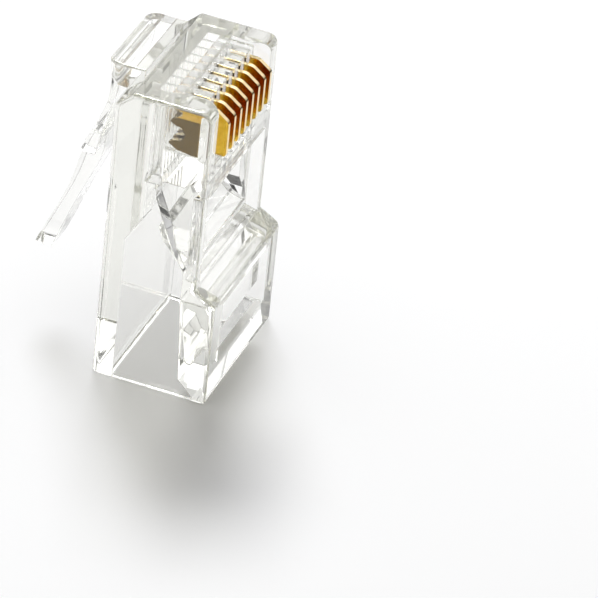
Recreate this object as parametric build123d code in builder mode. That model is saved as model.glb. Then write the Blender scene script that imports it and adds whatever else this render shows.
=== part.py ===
# Eight-way modular plug (8P8C) for a data cable, uncrimped, standing on its cable entry.
# Millimetres. Z runs from the cable entry (z = 0) to the nose, X across the contact row,
# the contacts face -Y and the latch is on the +Y side. The width is centred on x = 0.
import os
from math import radians, tan
from build123d import *

os.makedirs("parts", exist_ok=True)

# Driving dimensions of the body
body_width = 11.68
body_length = 21.46
rear_height = 8.00
nose_height = 6.60
side_wall = 0.84
latch_wall = 1.40
latch_edge_radius = 0.60
edge_radius = 0.30
base_radius = 0.25
step_radius = 0.65
nose_corner_radius = 0.70

# Contacts
contact_count = 8
contact_pitch = 1.02
blade_thickness = 0.30
blade_height = 3.55
crest_length = 2.50
crest_stand = 0.45
crest_slope = 0.90
crimp_travel = 0.95
slot_clearance = 0.02
comb_depth = 1.03
comb_floor_width = 7.90
comb_mouth_width = 8.90

# Latch
latch_width = 6.20
lever_width = 5.90
tab_width = 3.25
lever_thickness = 0.58
tab_thickness = 1.00
latch_lean = 21.0
shoulder_from_nose = 6.95
tab_end_from_entry = 5.45
root_width = 7.10
root_rise = 0.50

# Gap left round the two crimped-down reliefs
relief_gap = 0.10
hinge_clearance = 0.02

# Shape of the reliefs and of the window that the flap fills
ramp_length = 1.45
heel_length = 1.30
bend_from_pivot = 3.70
bend_depth = 2.05
window_straight = 1.30
window_taper = 1.30
blade_shoulder = 0.50

half_width = body_width / 2
latch_face = rear_height / 2
rear_face = latch_face - rear_height
nose_side_face = latch_face - nose_height
nose_z = body_length

# Levels along the body, all measured from the cable entry
step_low_z = 0.352 * body_length
step_high_z = step_low_z + 0.79
window_low_z = step_high_z + 0.86
nose_block_z = nose_z - 6.63
taper_low_z = nose_z - 11.0
guide_z = taper_low_z + 2.76
crest_top_z = nose_z - 1.46
blade_rear_z = crest_top_z - crest_length
blade_front_z = nose_z - 0.80
channel_end_z = nose_z - 0.60

# Levels across the body
crest_y = nose_side_face - crest_stand
comb_y = nose_side_face + comb_depth
tip_y = crest_y + blade_height
channel_roof_y = tip_y + 0.25
channel_floor_y = channel_roof_y + 0.90
channel_width = contact_pitch - 0.14
channel_corner = 0.10
cavity_floor_y = latch_face - latch_wall
guide_y = channel_roof_y + 0.23
throat_z = taper_low_z + (guide_z - taper_low_z) * (cavity_floor_y - channel_floor_y) / (cavity_floor_y - guide_y)
rear_bridge_y = rear_face + 2.10
mid_bridge_y = rear_face + 2.42
recess_y = nose_side_face + 0.85
front_inner_y = -0.25
slot_inner_y = front_inner_y + crimp_travel + 0.05
comb_half = contact_pitch * contact_count / 2 + 0.06
cavity_half = half_width - side_wall
slot_half = blade_thickness / 2 + slot_clearance

# Primary (jacket) relief window and pivot
primary_half = 4.05
primary_low_z = 2.35
primary_high_z = primary_low_z + 4.45
primary_pivot_y = rear_bridge_y - 0.42
primary_pivot_z = primary_low_z + 0.05
primary_knuckle = 0.30

# Secondary (conductor) relief window and pivot
secondary_half = 4.05
secondary_narrow_half = 3.15
secondary_pivot_y = nose_side_face + 1.45
secondary_pivot_z = nose_block_z - 0.05
secondary_knuckle = 0.34

# Latch root and pivot
root_half = root_width / 2
root_low_z = nose_z - 1.10
root_top_z = nose_z + root_rise
root_in_y = latch_face - 1.15
root_out_y = latch_face + 1.35
latch_pivot_y = root_out_y - lever_thickness / 2
latch_pivot_z = root_low_z
latch_knuckle = lever_thickness / 2

contact_xs = [(i - (contact_count - 1) / 2) * contact_pitch for i in range(contact_count)]

# Cable cavity: the jacket space, ending in a sloped guide, and the narrower throat to the channels
with BuildPart() as cable_cavity:
    with BuildSketch(Plane.YZ):
        Polygon(
            (cavity_floor_y, -1.0),
            (cavity_floor_y, taper_low_z),
            (guide_y, guide_z),
            (guide_y, nose_block_z),
            (channel_roof_y, nose_block_z),
            (channel_roof_y, nose_block_z - 0.6),
            (mid_bridge_y + 0.85, window_low_z + 1.4),
            (mid_bridge_y, window_low_z),
            (mid_bridge_y, primary_high_z),
            (rear_bridge_y, 1.1),
            (rear_bridge_y - 1.1, 0.0),
            (rear_bridge_y - 1.1, -1.0),
            align=None,
        )
    extrude(amount=cavity_half, both=True)
    with BuildSketch(Plane.YZ):
        Polygon(
            (channel_floor_y, throat_z),
            (channel_floor_y, nose_block_z),
            (channel_roof_y, nose_block_z),
            (channel_roof_y, throat_z),
            align=None,
        )
    extrude(amount=comb_half + 0.02, both=True)

# Comb recess round the contact crests, with sloped side walls, open on the nose face
comb_slope = (comb_mouth_width - comb_floor_width) / 2 / comb_depth
comb_outer_half = comb_mouth_width / 2 + comb_slope
with BuildPart() as comb_recess:
    with BuildSketch(Plane.YZ):
        Polygon(
            (nose_side_face - 1.0, blade_rear_z - 0.60),
            (comb_y, blade_rear_z - 0.10),
            (comb_y, nose_z - 0.22),
            (0.0, nose_z - 0.22),
            (0.0, nose_z + 1.0),
            (nose_side_face - 1.0, nose_z + 1.0),
            align=None,
        )
    extrude(amount=half_width, both=True)
    with BuildSketch(Plane.XY):
        Polygon(
            (-comb_outer_half, nose_side_face - 1.0),
            (-comb_floor_width / 2, comb_y),
            (-comb_floor_width / 2, 1.0),
            (comb_floor_width / 2, 1.0),
            (comb_floor_width / 2, comb_y),
            (comb_outer_half, nose_side_face - 1.0),
            align=None,
        )
    extrude(amount=nose_z + 2.0, mode=Mode.INTERSECT)

# Housing: one clear moulding with the latch root, slots, channels and both relief windows
with BuildPart() as housing:
    with BuildSketch(Plane.YZ):
        with BuildLine():
            outline = Polyline(
                (latch_face, 0.0),
                (latch_face, nose_z - 1.21),
                (latch_face - 1.26, nose_z),
                (nose_side_face, nose_z),
                (nose_side_face, step_high_z),
                (rear_face, step_low_z),
                (rear_face, 0.0),
                close=True,
            )
        make_face()
        fillet(vertices().sort_by_distance((nose_side_face, nose_z))[0:1], nose_corner_radius)
        fillet(vertices().sort_by_distance((rear_face, step_low_z))[0:1], step_radius)
    extrude(amount=half_width, both=True)
    latch_side_edges = edges().filter_by(
        lambda e: abs(e.center().X) > half_width - 0.001 and e.center().Y > latch_face - 0.001
    )
    fillet(latch_side_edges, latch_edge_radius)
    side_edges = edges().filter_by(
        lambda e: abs(abs(e.center().X) - half_width) < 0.001
        and e.center().Z > 0.05 and e.center().Y < latch_face - 0.3
    )
    fillet(side_edges, edge_radius)
    fillet(edges().filter_by(lambda e: e.center().Z < 0.001), base_radius)

    # Latch root, bridging the nose chamfer
    with BuildSketch(Plane.YZ):
        Polygon(
            (root_in_y, root_low_z - 0.40),
            (root_in_y, root_top_z),
            (root_out_y + 0.17, root_top_z),
            (root_out_y, root_low_z),
            (latch_face - 0.20, root_low_z),
            align=None,
        )
    extrude(amount=root_half, both=True)
    root_corners = edges().filter_by(
        lambda e: e.center().Y > root_out_y and abs(e.center().X) > root_half - 0.01 and e.length > 1.0
        and abs(e.tangent_at(0.5).Z) > 0.9
    )
    fillet(root_corners, 0.80)
    root_rim = edges().filter_by(
        lambda e: e.center().Z > root_top_z - 0.01 and e.center().Y > root_in_y + 0.05
    )
    fillet(root_rim, 0.14)

    add(cable_cavity.part, mode=Mode.SUBTRACT)

    add(comb_recess.part, mode=Mode.SUBTRACT)

    # Conductor channels
    with BuildSketch(Plane.XY.offset(nose_block_z - 0.5)):
        with Locations([(x, (channel_roof_y + channel_floor_y) / 2) for x in contact_xs]):
            RectangleRounded(channel_width, channel_floor_y - channel_roof_y, channel_corner)
    extrude(amount=channel_end_z - nose_block_z + 0.5, mode=Mode.SUBTRACT)

    # Flared mouths that guide the conductors into the channels
    with BuildSketch(Plane.XY.offset(nose_block_z - 0.01)):
        with Locations([(x, (channel_roof_y + channel_floor_y) / 2) for x in contact_xs]):
            Rectangle(contact_pitch - 0.02, channel_floor_y - channel_roof_y + 0.30)
    extrude(amount=0.60, taper=8, mode=Mode.SUBTRACT)

    # Blade slots
    for x in contact_xs:
        with BuildSketch(Plane.YZ.offset(x)):
            Polygon(
                (nose_side_face - 1.0, blade_rear_z - 0.05),
                (channel_roof_y + 0.30, blade_rear_z - 0.05),
                (channel_roof_y + 0.30, blade_front_z - 0.45),
                (slot_inner_y, blade_front_z - 0.45),
                (slot_inner_y, blade_front_z + 0.05),
                (0.0, blade_front_z + 0.05),
                (0.0, nose_z + 1.0),
                (nose_side_face - 1.0, nose_z + 1.0),
                align=None,
            )
        extrude(amount=slot_half, both=True, mode=Mode.SUBTRACT)

    # Primary relief window with the round seat of its hinge
    with BuildSketch(Plane.YZ):
        Polygon(
            (rear_face - 1.0, primary_low_z),
            (mid_bridge_y + 1.0, primary_low_z),
            (mid_bridge_y + 1.0, primary_high_z),
            (rear_face - 1.0, primary_high_z),
            align=None,
        )
    extrude(amount=primary_half, both=True, mode=Mode.SUBTRACT)

    # Shallow recess of the middle window, between the side walls
    with BuildSketch(Plane.YZ):
        Polygon(
            (nose_side_face - 1.0, step_high_z + 0.12),
            (nose_side_face, step_high_z + 0.12),
            (recess_y, step_high_z + 0.40),
            (recess_y, nose_block_z),
            (nose_side_face - 1.0, nose_block_z),
            align=None,
        )
    extrude(amount=cavity_half - 0.05, both=True, mode=Mode.SUBTRACT)

    # Secondary relief window, narrowing toward the nose
    with BuildSketch(Plane.XZ.offset(-channel_roof_y)):
        Polygon(
            (-secondary_half, window_low_z),
            (secondary_half, window_low_z),
            (secondary_half, window_low_z + window_straight),
            (secondary_narrow_half, window_low_z + window_straight + window_taper),
            (secondary_narrow_half, nose_block_z),
            (-secondary_narrow_half, nose_block_z),
            (-secondary_narrow_half, window_low_z + window_straight + window_taper),
            (-secondary_half, window_low_z + window_straight),
            align=None,
        )
    extrude(amount=rear_height, mode=Mode.SUBTRACT)

    # Round seats of the three moulded hinges
    with BuildSketch(Plane.YZ):
        with Locations((primary_pivot_y, primary_pivot_z)):
            Circle(primary_knuckle + hinge_clearance)
    extrude(amount=primary_half, both=True, mode=Mode.SUBTRACT)
    with BuildSketch(Plane.YZ):
        with Locations((secondary_pivot_y, secondary_pivot_z)):
            Circle(secondary_knuckle + hinge_clearance)
    extrude(amount=secondary_narrow_half, both=True, mode=Mode.SUBTRACT)
    with BuildSketch(Plane.YZ):
        with Locations((latch_pivot_y, latch_pivot_z)):
            Circle(latch_knuckle + hinge_clearance)
    extrude(amount=root_half, both=True, mode=Mode.SUBTRACT)
housing.part.label = "housing"
export_step(housing.part, "parts/housing.step")

# Thumb tab, thicker where it leaves the shoulders, with a rounded end
lean = tan(radians(latch_lean))
shoulder_z = nose_z - shoulder_from_nose
shoulder_top_z = shoulder_z + 1.65
shoulder_out_y = latch_pivot_y + 1.95
tab_knee_z = shoulder_z - 2.90
tab_knee_y = shoulder_out_y + 0.86
tab_tip_y = tab_knee_y + (tab_knee_z - tab_end_from_entry) * lean
with BuildPart() as thumb_tab:
    with BuildSketch(Plane.YZ):
        with BuildLine():
            tab_outer = Spline(
                (shoulder_out_y - 0.26, shoulder_z + 0.60),
                (shoulder_out_y + 0.42, shoulder_z - 1.10),
                (tab_knee_y, tab_knee_z),
                (tab_tip_y, tab_end_from_entry),
                tangents=[(0.45, -1.0), (lean, -1.0)],
            )
            tab_end = Line(tab_outer @ 1, (tab_tip_y - tab_thickness, tab_end_from_entry - tab_thickness * lean))
            tab_inner = Spline(
                tab_end @ 1,
                (tab_knee_y - 1.12, tab_knee_z),
                (shoulder_out_y - 0.93, shoulder_z - 1.20),
                (shoulder_out_y - 1.18, shoulder_z + 0.60),
                tangents=[(-lean, 1.0), (-0.05, 1.0)],
            )
            Line(tab_inner @ 1, tab_outer @ 0)
        make_face()
        fillet(vertices().sort_by_distance((tab_tip_y, tab_end_from_entry))[0:1], 0.30)
        fillet(vertices().sort_by_distance(tab_end @ 1)[0:1], 0.30)
    extrude(amount=tab_width / 2, both=True)
    with BuildSketch(Plane.XZ):
        with BuildLine():
            Polyline(
                (-tab_width / 2, tab_end_from_entry - tab_thickness * lean),
                (tab_width / 2, tab_end_from_entry - tab_thickness * lean),
                (tab_width / 2, nose_z),
                (-tab_width / 2, nose_z),
                close=True,
            )
        make_face()
        fillet(vertices().sort_by_distance((tab_width / 2, 0.0))[0:1], 1.35)
        fillet(vertices().sort_by_distance((-tab_width / 2, 0.0))[0:1], 1.35)
    extrude(amount=2 * rear_height, both=True, mode=Mode.INTERSECT)

# Latch: thin curved lever, thick shoulders wider than the lever, narrow thumb tab
with BuildPart() as latch:
    with BuildSketch(Plane.YZ):
        with Locations((latch_pivot_y, latch_pivot_z)):
            Circle(latch_knuckle)
        with BuildLine():
            lever_outer = Spline(
                (root_out_y, latch_pivot_z),
                (root_out_y + 0.09, shoulder_z + 4.20),
                (root_out_y + 0.52, shoulder_z + 2.85),
                (shoulder_out_y - 0.42, shoulder_top_z - 0.50),
                (shoulder_out_y - 0.24, shoulder_top_z - 0.85),
                tangents=[(0.0, -1.0), (0.45, -1.0)],
            )
            Line(lever_outer @ 1, (shoulder_out_y - 1.12, shoulder_top_z - 0.85))
            lever_inner = Spline(
                (shoulder_out_y - 1.12, shoulder_top_z - 0.85),
                (shoulder_out_y - 1.53, shoulder_z + 2.55),
                (root_out_y - 0.29, shoulder_z + 4.10),
                (root_out_y - 2 * latch_knuckle, latch_pivot_z),
                tangents=[(-0.35, 1.0), (0.0, 1.0)],
            )
            Line(lever_inner @ 1, (root_out_y, latch_pivot_z))
        make_face()
    extrude(amount=lever_width / 2, both=True)
    # Shoulders that catch behind the jack's tabs
    with BuildSketch(Plane.YZ):
        Polygon(
            (shoulder_out_y, shoulder_z),
            (shoulder_out_y - 1.08, shoulder_z),
            (shoulder_out_y - 1.36, shoulder_top_z),
            (shoulder_out_y - 0.66, shoulder_top_z + 0.05),
            align=None,
        )
        fillet(vertices().sort_by_distance((shoulder_out_y, shoulder_z))[0:1], 0.22)
        fillet(vertices().sort_by_distance((shoulder_out_y - 1.08, shoulder_z))[0:1], 0.15)
    extrude(amount=latch_width / 2, both=True)
    add(thumb_tab.part)
latch.part.label = "latch"
export_step(latch.part, "parts/latch.step")

# Primary relief: the bar that is pushed down on the jacket
with BuildPart() as primary_relief:
    with BuildSketch(Plane.YZ):
        with Locations((primary_pivot_y, primary_pivot_z)):
            Circle(primary_knuckle)
        Polygon(
            (primary_pivot_y - primary_knuckle, primary_pivot_z),
            (primary_pivot_y - 0.45, primary_pivot_z + ramp_length - 0.50),
            (rear_face + 0.55, primary_pivot_z + ramp_length),
            (rear_face + 0.55, primary_high_z - 0.80),
            (rear_face + 0.85, primary_high_z - 0.15),
            (mid_bridge_y + 0.05, primary_high_z - 0.15),
            (mid_bridge_y + 0.07, primary_high_z - heel_length),
            (primary_pivot_y + primary_knuckle, primary_pivot_z),
            align=None,
        )
    extrude(amount=primary_half - relief_gap, both=True)
primary_relief.part.label = "primary_relief"
export_step(primary_relief.part, "parts/primary_relief.step")

# Secondary relief: the bent flap that is pushed down on the conductors
with BuildPart() as secondary_relief:
    with BuildSketch(Plane.YZ):
        with Locations((secondary_pivot_y, secondary_pivot_z)):
            Circle(secondary_knuckle)
        Polygon(
            (secondary_pivot_y + secondary_knuckle, secondary_pivot_z),
            (secondary_pivot_y + bend_depth, secondary_pivot_z - bend_from_pivot),
            (secondary_pivot_y + 0.70, window_low_z + 0.35),
            (secondary_pivot_y - 0.60, window_low_z + 0.15),
            (secondary_pivot_y - 0.90, window_low_z + 0.55),
            (secondary_pivot_y, window_low_z + 1.00),
            (secondary_pivot_y + bend_depth - 0.75, secondary_pivot_z - bend_from_pivot + 0.25),
            (secondary_pivot_y - secondary_knuckle, secondary_pivot_z),
            align=None,
        )
    extrude(amount=secondary_half - relief_gap, both=True)
    with BuildSketch(Plane.XZ):
        Polygon(
            (-secondary_half + relief_gap, window_low_z - 1.0),
            (secondary_half - relief_gap, window_low_z - 1.0),
            (secondary_half - relief_gap, window_low_z + window_straight - 0.05),
            (secondary_narrow_half - relief_gap, window_low_z + window_straight + window_taper - 0.05),
            (secondary_narrow_half - relief_gap, nose_block_z + 1.0),
            (-secondary_narrow_half + relief_gap, nose_block_z + 1.0),
            (-secondary_narrow_half + relief_gap, window_low_z + window_straight + window_taper - 0.05),
            (-secondary_half + relief_gap, window_low_z + window_straight - 0.05),
            align=None,
        )
    extrude(amount=rear_height, both=True, mode=Mode.INTERSECT)
secondary_relief.part.label = "secondary_relief"
export_step(secondary_relief.part, "parts/secondary_relief.step")

# Contact blade: rounded crest, exposed front edge, fork with two piercing tines
blade_mid_z = (blade_rear_z + blade_front_z - blade_shoulder) / 2
fork_half = 0.52
tine_y = tip_y - 0.50
blade_outline = [
    (crest_y, blade_rear_z),
    (comb_y + 0.55, blade_rear_z),
    (tine_y, blade_rear_z + 0.18),
    (tip_y, blade_rear_z + 0.52),
    (tip_y, blade_rear_z + 0.60),
    (tine_y + 0.10, blade_mid_z - fork_half),
    (tine_y + 0.10, blade_mid_z + fork_half),
    (tip_y, blade_front_z - 1.06),
    (tip_y, blade_front_z - 0.98),
    (tine_y, blade_front_z - blade_shoulder - 0.10),
    (front_inner_y, blade_front_z - blade_shoulder),
    (front_inner_y, blade_front_z),
    (crest_y + crest_slope, blade_front_z),
    (crest_y, crest_top_z),
]
contacts = []
for number, x in enumerate(contact_xs, start=1):
    with BuildPart() as contact:
        with BuildSketch(Plane.YZ.offset(x)):
            Polygon(*blade_outline, align=None)
            with Locations((tine_y, blade_mid_z)):
                Circle(fork_half, mode=Mode.SUBTRACT)
            with Locations((tine_y + 0.50, blade_mid_z)):
                Rectangle(1.0, 2 * fork_half, mode=Mode.SUBTRACT)
            fillet(vertices().sort_by_distance((crest_y, blade_rear_z))[0:1], 0.20)
            fillet(vertices().sort_by_distance((crest_y, crest_top_z))[0:1], 0.45)
            fillet(vertices().sort_by_distance((crest_y + crest_slope, blade_front_z))[0:1], 0.60)
        extrude(amount=blade_thickness / 2, both=True)
    contact.part.label = f"contact_{number}"
    export_step(contact.part, f"parts/contact_{number}.step")
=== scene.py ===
import math

import bpy
from mathutils import Matrix, Vector


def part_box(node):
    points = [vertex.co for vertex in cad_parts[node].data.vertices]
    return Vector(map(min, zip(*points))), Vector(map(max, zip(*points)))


# Lengths are in metres, unless a name says otherwise
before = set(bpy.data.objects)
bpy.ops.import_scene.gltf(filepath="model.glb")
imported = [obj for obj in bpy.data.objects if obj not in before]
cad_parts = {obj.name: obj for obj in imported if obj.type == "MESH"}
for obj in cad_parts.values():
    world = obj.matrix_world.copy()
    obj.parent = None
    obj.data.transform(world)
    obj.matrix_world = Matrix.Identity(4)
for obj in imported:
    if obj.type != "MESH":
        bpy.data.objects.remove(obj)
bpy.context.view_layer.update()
scene = bpy.context.scene

# Camera, fitted to the corners of the standing plug in the photograph
azimuth = math.radians(-70.87)
elevation = math.radians(32.49)
roll = math.radians(5.64)
image_px = 598.0
focal_px = 6000.0
px_per_metre = 15560.0
distance = focal_px / px_per_metre
aim = Vector((0.0, 0.0, 0.011))
aim_px = (194.55, 202.89)
film_mm = 36.0

# Light from a softbox behind and above, in a room that is pale behind the plug
sun = Vector((0.544, 0.289, 0.788))
key_distance = 0.65
key_aim = Vector((0.0, 0.0, 0.01))
key_side = 0.20
key_watts = 3.42
pale_side = (0.883, 0.301, 0.361)
dark_level = 0.14
pale_level = 1.65
plain_level = 0.35
backdrop_level = 0.96

# Floor
floor_reach = 1.5
floor_gap = 0.00002
fade_start = 0.034
fade_end = 0.080

# Contact blade: where gold gives way to painted shade in the slot, from its crest and its nose end
blade_low, blade_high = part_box("contact_1")
crest_y = blade_low[1]
nose_z = blade_high[2]
slot_shade_y = (crest_y + 0.00125, crest_y + 0.00165)
slot_shade_z = (nose_z - 0.00071, nose_z - 0.00061)


def photo_camera():
    back = Vector((
        math.sin(azimuth) * math.cos(elevation),
        -math.cos(azimuth) * math.cos(elevation),
        math.sin(elevation),
    ))
    level_right = Vector((math.cos(azimuth), math.sin(azimuth), 0.0))
    level_up = back.cross(level_right)
    right = level_right * math.cos(roll) + level_up * math.sin(roll)
    up = level_up * math.cos(roll) - level_right * math.sin(roll)
    eye = aim + back * distance

    # The plug stands left of and above the middle of the picture, so the camera looks past it
    step_x = (image_px / 2 - aim_px[0]) / focal_px
    step_y = (aim_px[1] - image_px / 2) / focal_px
    look = (-back + right * step_x + up * step_y).normalized()
    side = (right - look * right.dot(look)).normalized()
    top = side.cross(look)
    turn = Matrix((side, top, -look)).transposed()

    data = bpy.data.cameras.new("camera")
    data.lens = film_mm * focal_px / image_px
    data.sensor_width = film_mm
    data.clip_start = 0.01
    data.clip_end = 10.0
    camera = bpy.data.objects.new("camera", data)
    camera.matrix_world = Matrix.Translation(eye) @ turn.to_4x4()
    scene.collection.objects.link(camera)
    return camera


def feed(tree, node, inputs):
    """Give each named input a plain value, or a link from another node's output."""
    for socket, value in inputs.items():
        if isinstance(value, bpy.types.NodeSocket):
            tree.links.new(value, node.inputs[socket])
        else:
            node.inputs[socket].default_value = value


def add(tree, kind, inputs, **settings):
    node = tree.nodes.new(kind)
    for setting, value in settings.items():
        setattr(node, setting, value)
    feed(tree, node, inputs)
    return node


def calculate(tree, operation, *values):
    node = add(tree, "ShaderNodeMath", dict(enumerate(values)), operation=operation)
    return node.outputs["Value"]


def spread(tree, value, old_range, new_range):
    """Map a value from one range to another, held at both ends."""
    node = add(tree, "ShaderNodeMapRange", {
        "Value": value,
        "From Min": old_range[0],
        "From Max": old_range[1],
        "To Min": new_range[0],
        "To Max": new_range[1],
    })
    return node.outputs["Result"]


def mix(tree, kind, factor, first, second):
    node = add(tree, "ShaderNodeMix", {"Factor": factor, "A": first, "B": second}, data_type=kind)
    return node.outputs["Result"]


def mix_shaders(tree, factor, first, second):
    return add(tree, "ShaderNodeMixShader", {0: factor, 1: first, 2: second}).outputs["Shader"]


def noise(tree, place, scale, detail):
    node = add(tree, "ShaderNodeTexNoise", {"Vector": place, "Scale": scale, "Detail": detail})
    return node.outputs["Fac"]


def through_or_mirrored(tree, path):
    """1 for a ray that came through the plastic or off a mirroring surface, and 0 for others."""
    return calculate(
        tree, "MAXIMUM", path.outputs["Is Transmission Ray"], path.outputs["Is Glossy Ray"]
    )


def new_material(name):
    material = bpy.data.materials.new(name)
    material.use_nodes = True
    tree = material.node_tree
    return material, tree, tree.nodes["Principled BSDF"]


def clear_polycarbonate():
    material, tree, shader = new_material("clear_polycarbonate")
    place = tree.nodes.new("ShaderNodeTexCoord").outputs["Object"]
    # Faint texture of the mould, and faint waves where the plastic flowed into it
    texture = noise(tree, place, scale=1800.0, detail=3.0)
    waves = noise(tree, place, scale=260.0, detail=2.0)
    # Moulded corners too fine for the solid
    corners = add(tree, "ShaderNodeBevel", {"Radius": 0.00012}, samples=8)
    wavy = add(tree, "ShaderNodeBump", {
        "Height": waves,
        "Strength": 0.06,
        "Distance": 0.00010,
        "Normal": corners.outputs["Normal"],
    })
    feed(tree, shader, {
        "Base Color": (0.98, 0.98, 0.972, 1.0),
        "Transmission Weight": 1.0,
        "IOR": 1.58,
        "Roughness": spread(tree, texture, (0.35, 0.75), (0.0, 0.045)),
        "Normal": wavy.outputs["Normal"],
    })
    # The plastic takes a tint with depth, and lamps shine through it
    tint = add(tree, "ShaderNodeVolumeAbsorption", {
        "Color": (0.885, 0.89, 0.77, 1.0),
        "Density": 26.0,
    })
    shade = add(tree, "ShaderNodeBsdfTransparent", {"Color": (0.85, 0.848, 0.835, 1.0)})
    shadow = tree.nodes.new("ShaderNodeLightPath").outputs["Is Shadow Ray"]
    feed(tree, tree.nodes["Material Output"], {
        "Surface": mix_shaders(tree, shadow, shader.outputs["BSDF"], shade.outputs["BSDF"]),
        "Volume": tint.outputs["Volume"],
    })
    return material


def gold_contact():
    material, tree, shader = new_material("gold_contact")
    coords = tree.nodes.new("ShaderNodeTexCoord")
    place = coords.outputs["Object"]
    grain = noise(tree, place, scale=2500.0, detail=4.0)
    tone = add(tree, "ShaderNodeValToRGB", {"Fac": grain})
    dull, rich = tone.color_ramp.elements
    dull.position = 0.3
    dull.color = (0.68, 0.40, 0.03, 1.0)
    rich.position = 0.75
    rich.color = (0.84, 0.55, 0.08, 1.0)
    # Painted shade: dark brown down in the slot. The nose end of the blade stays gold.
    at = add(tree, "ShaderNodeSeparateXYZ", {"Vector": place})
    deep = spread(tree, at.outputs["Y"], slot_shade_y, (0.0, 1.0))
    short_of_nose = spread(tree, at.outputs["Z"], slot_shade_z, (1.0, 0.0))
    in_slot_shade = calculate(tree, "MULTIPLY", deep, short_of_nose)
    plating_with_shade = mix(tree, "RGBA", in_slot_shade, tone.outputs["Color"], (0.14, 0.082, 0.001, 1.0))
    # Painted highlight: paler on the narrow faces between the two flat sides of the blade
    facing = add(tree, "ShaderNodeSeparateXYZ", {"Vector": coords.outputs["Normal"]})
    sideways = calculate(tree, "ABSOLUTE", facing.outputs["X"])
    painted_crest_highlight = spread(tree, sideways, (0.5, 0.1), (0.0, 0.75))
    # Rolling marks of the strip, along each blade
    along = add(tree, "ShaderNodeMapping", {"Vector": place, "Scale": (1.0, 1.0, 0.06)})
    marks = add(tree, "ShaderNodeBump", {
        "Height": noise(tree, along.outputs["Vector"], scale=5200.0, detail=3.0),
        "Strength": 0.22,
        "Distance": 0.00003,
    })
    # The base colour carries the painted shade in the slot and the painted highlight on the narrow
    # faces
    feed(tree, shader, {
        "Metallic": 1.0,
        "IOR": 1.5,
        "Base Color": mix(tree, "RGBA", painted_crest_highlight, plating_with_shade, (0.98, 0.85, 0.58, 1.0)),
        "Roughness": spread(tree, grain, (0.3, 0.8), (0.08, 0.20)),
        "Normal": marks.outputs["Normal"],
    })
    return material


def pale_floor():
    material, tree, shader = new_material("floor")
    feed(tree, shader, {"Base Color": (0.95, 0.95, 0.952, 1.0), "Roughness": 0.6})
    # Painted light: through the plastic or in the metal, the floor gets a glow of its own. Near the
    # plug it lifts the shade a little, and far from the plug it fades to dark.
    place = tree.nodes.new("ShaderNodeTexCoord").outputs["Object"]
    away = add(tree, "ShaderNodeVectorMath", {0: place}, operation="LENGTH").outputs["Value"]
    painted_floor_glow = add(tree, "ShaderNodeEmission", {
        "Color": (0.92, 0.922, 0.93, 1.0),
        "Strength": spread(tree, away, (fade_start, fade_end), (1.0, 0.05)),
    })
    share = spread(tree, away, (fade_start, fade_end), (0.12, 1.0))
    path = tree.nodes.new("ShaderNodeLightPath")
    factor = calculate(tree, "MULTIPLY", through_or_mirrored(tree, path), share)
    feed(tree, tree.nodes["Material Output"], {
        "Surface": mix_shaders(tree, factor, shader.outputs["BSDF"], painted_floor_glow.outputs["Emission"]),
    })

    corners = [(-1, -1), (1, -1), (1, 1), (-1, 1)]
    mesh = bpy.data.meshes.new("floor")
    mesh.from_pydata([(x * floor_reach, y * floor_reach, 0) for x, y in corners], [], [(0, 1, 2, 3)])
    mesh.materials.append(material)
    floor = bpy.data.objects.new("floor", mesh)
    floor.location.z = -floor_gap
    scene.collection.objects.link(floor)
    return floor


def softbox():
    data = bpy.data.lights.new("key", "AREA")
    data.shape = "RECTANGLE"
    data.size = key_side
    data.size_y = key_side
    data.energy = key_watts
    lamp = bpy.data.objects.new("key", data)
    lamp.location = sun * key_distance
    lamp.rotation_euler = (sun * key_distance - key_aim).to_track_quat("Z", "Y").to_euler()
    scene.collection.objects.link(lamp)


def room():
    world = bpy.data.worlds.new("world")
    world.use_nodes = True
    tree = world.node_tree
    path = tree.nodes.new("ShaderNodeLightPath")
    direction = tree.nodes.new("ShaderNodeTexCoord").outputs["Generated"]
    toward = add(
        tree, "ShaderNodeVectorMath", {0: direction, 1: pale_side}, operation="DOT_PRODUCT"
    )
    nearness = spread(tree, toward.outputs["Value"], (-0.3, 0.9), (0.0, 1.0))
    glow = calculate(tree, "POWER", nearness, 4.0)
    shaded = spread(tree, glow, (0.0, 1.0), (dark_level, pale_level))
    # The room gives a plain light. Only the plastic and the metal show its pale and dark sides.
    level = mix(tree, "FLOAT", through_or_mirrored(tree, path), plain_level, shaded)
    feed(tree, tree.nodes["Background"], {
        "Color": (1.0, 1.0, 1.0, 1.0),
        "Strength": mix(tree, "FLOAT", path.outputs["Is Camera Ray"], level, backdrop_level),
    })
    return world


scene.camera = photo_camera()

clear = clear_polycarbonate()
gold = gold_contact()
for name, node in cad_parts.items():
    node.data.materials.clear()
    node.data.materials.append(gold if name.startswith("contact") else clear)

floor = pale_floor()

softbox()
scene.world = room()
scene.view_settings.view_transform = "Standard"

# Reflections inside the plastic count as glossy bounces, so those are as many as transmission's
cycles = scene.cycles
cycles.max_bounces = 48
cycles.transmission_bounces = 48
cycles.glossy_bounces = 48
cycles.transparent_max_bounces = 24
cycles.caustics_refractive = False
cycles.caustics_reflective = False
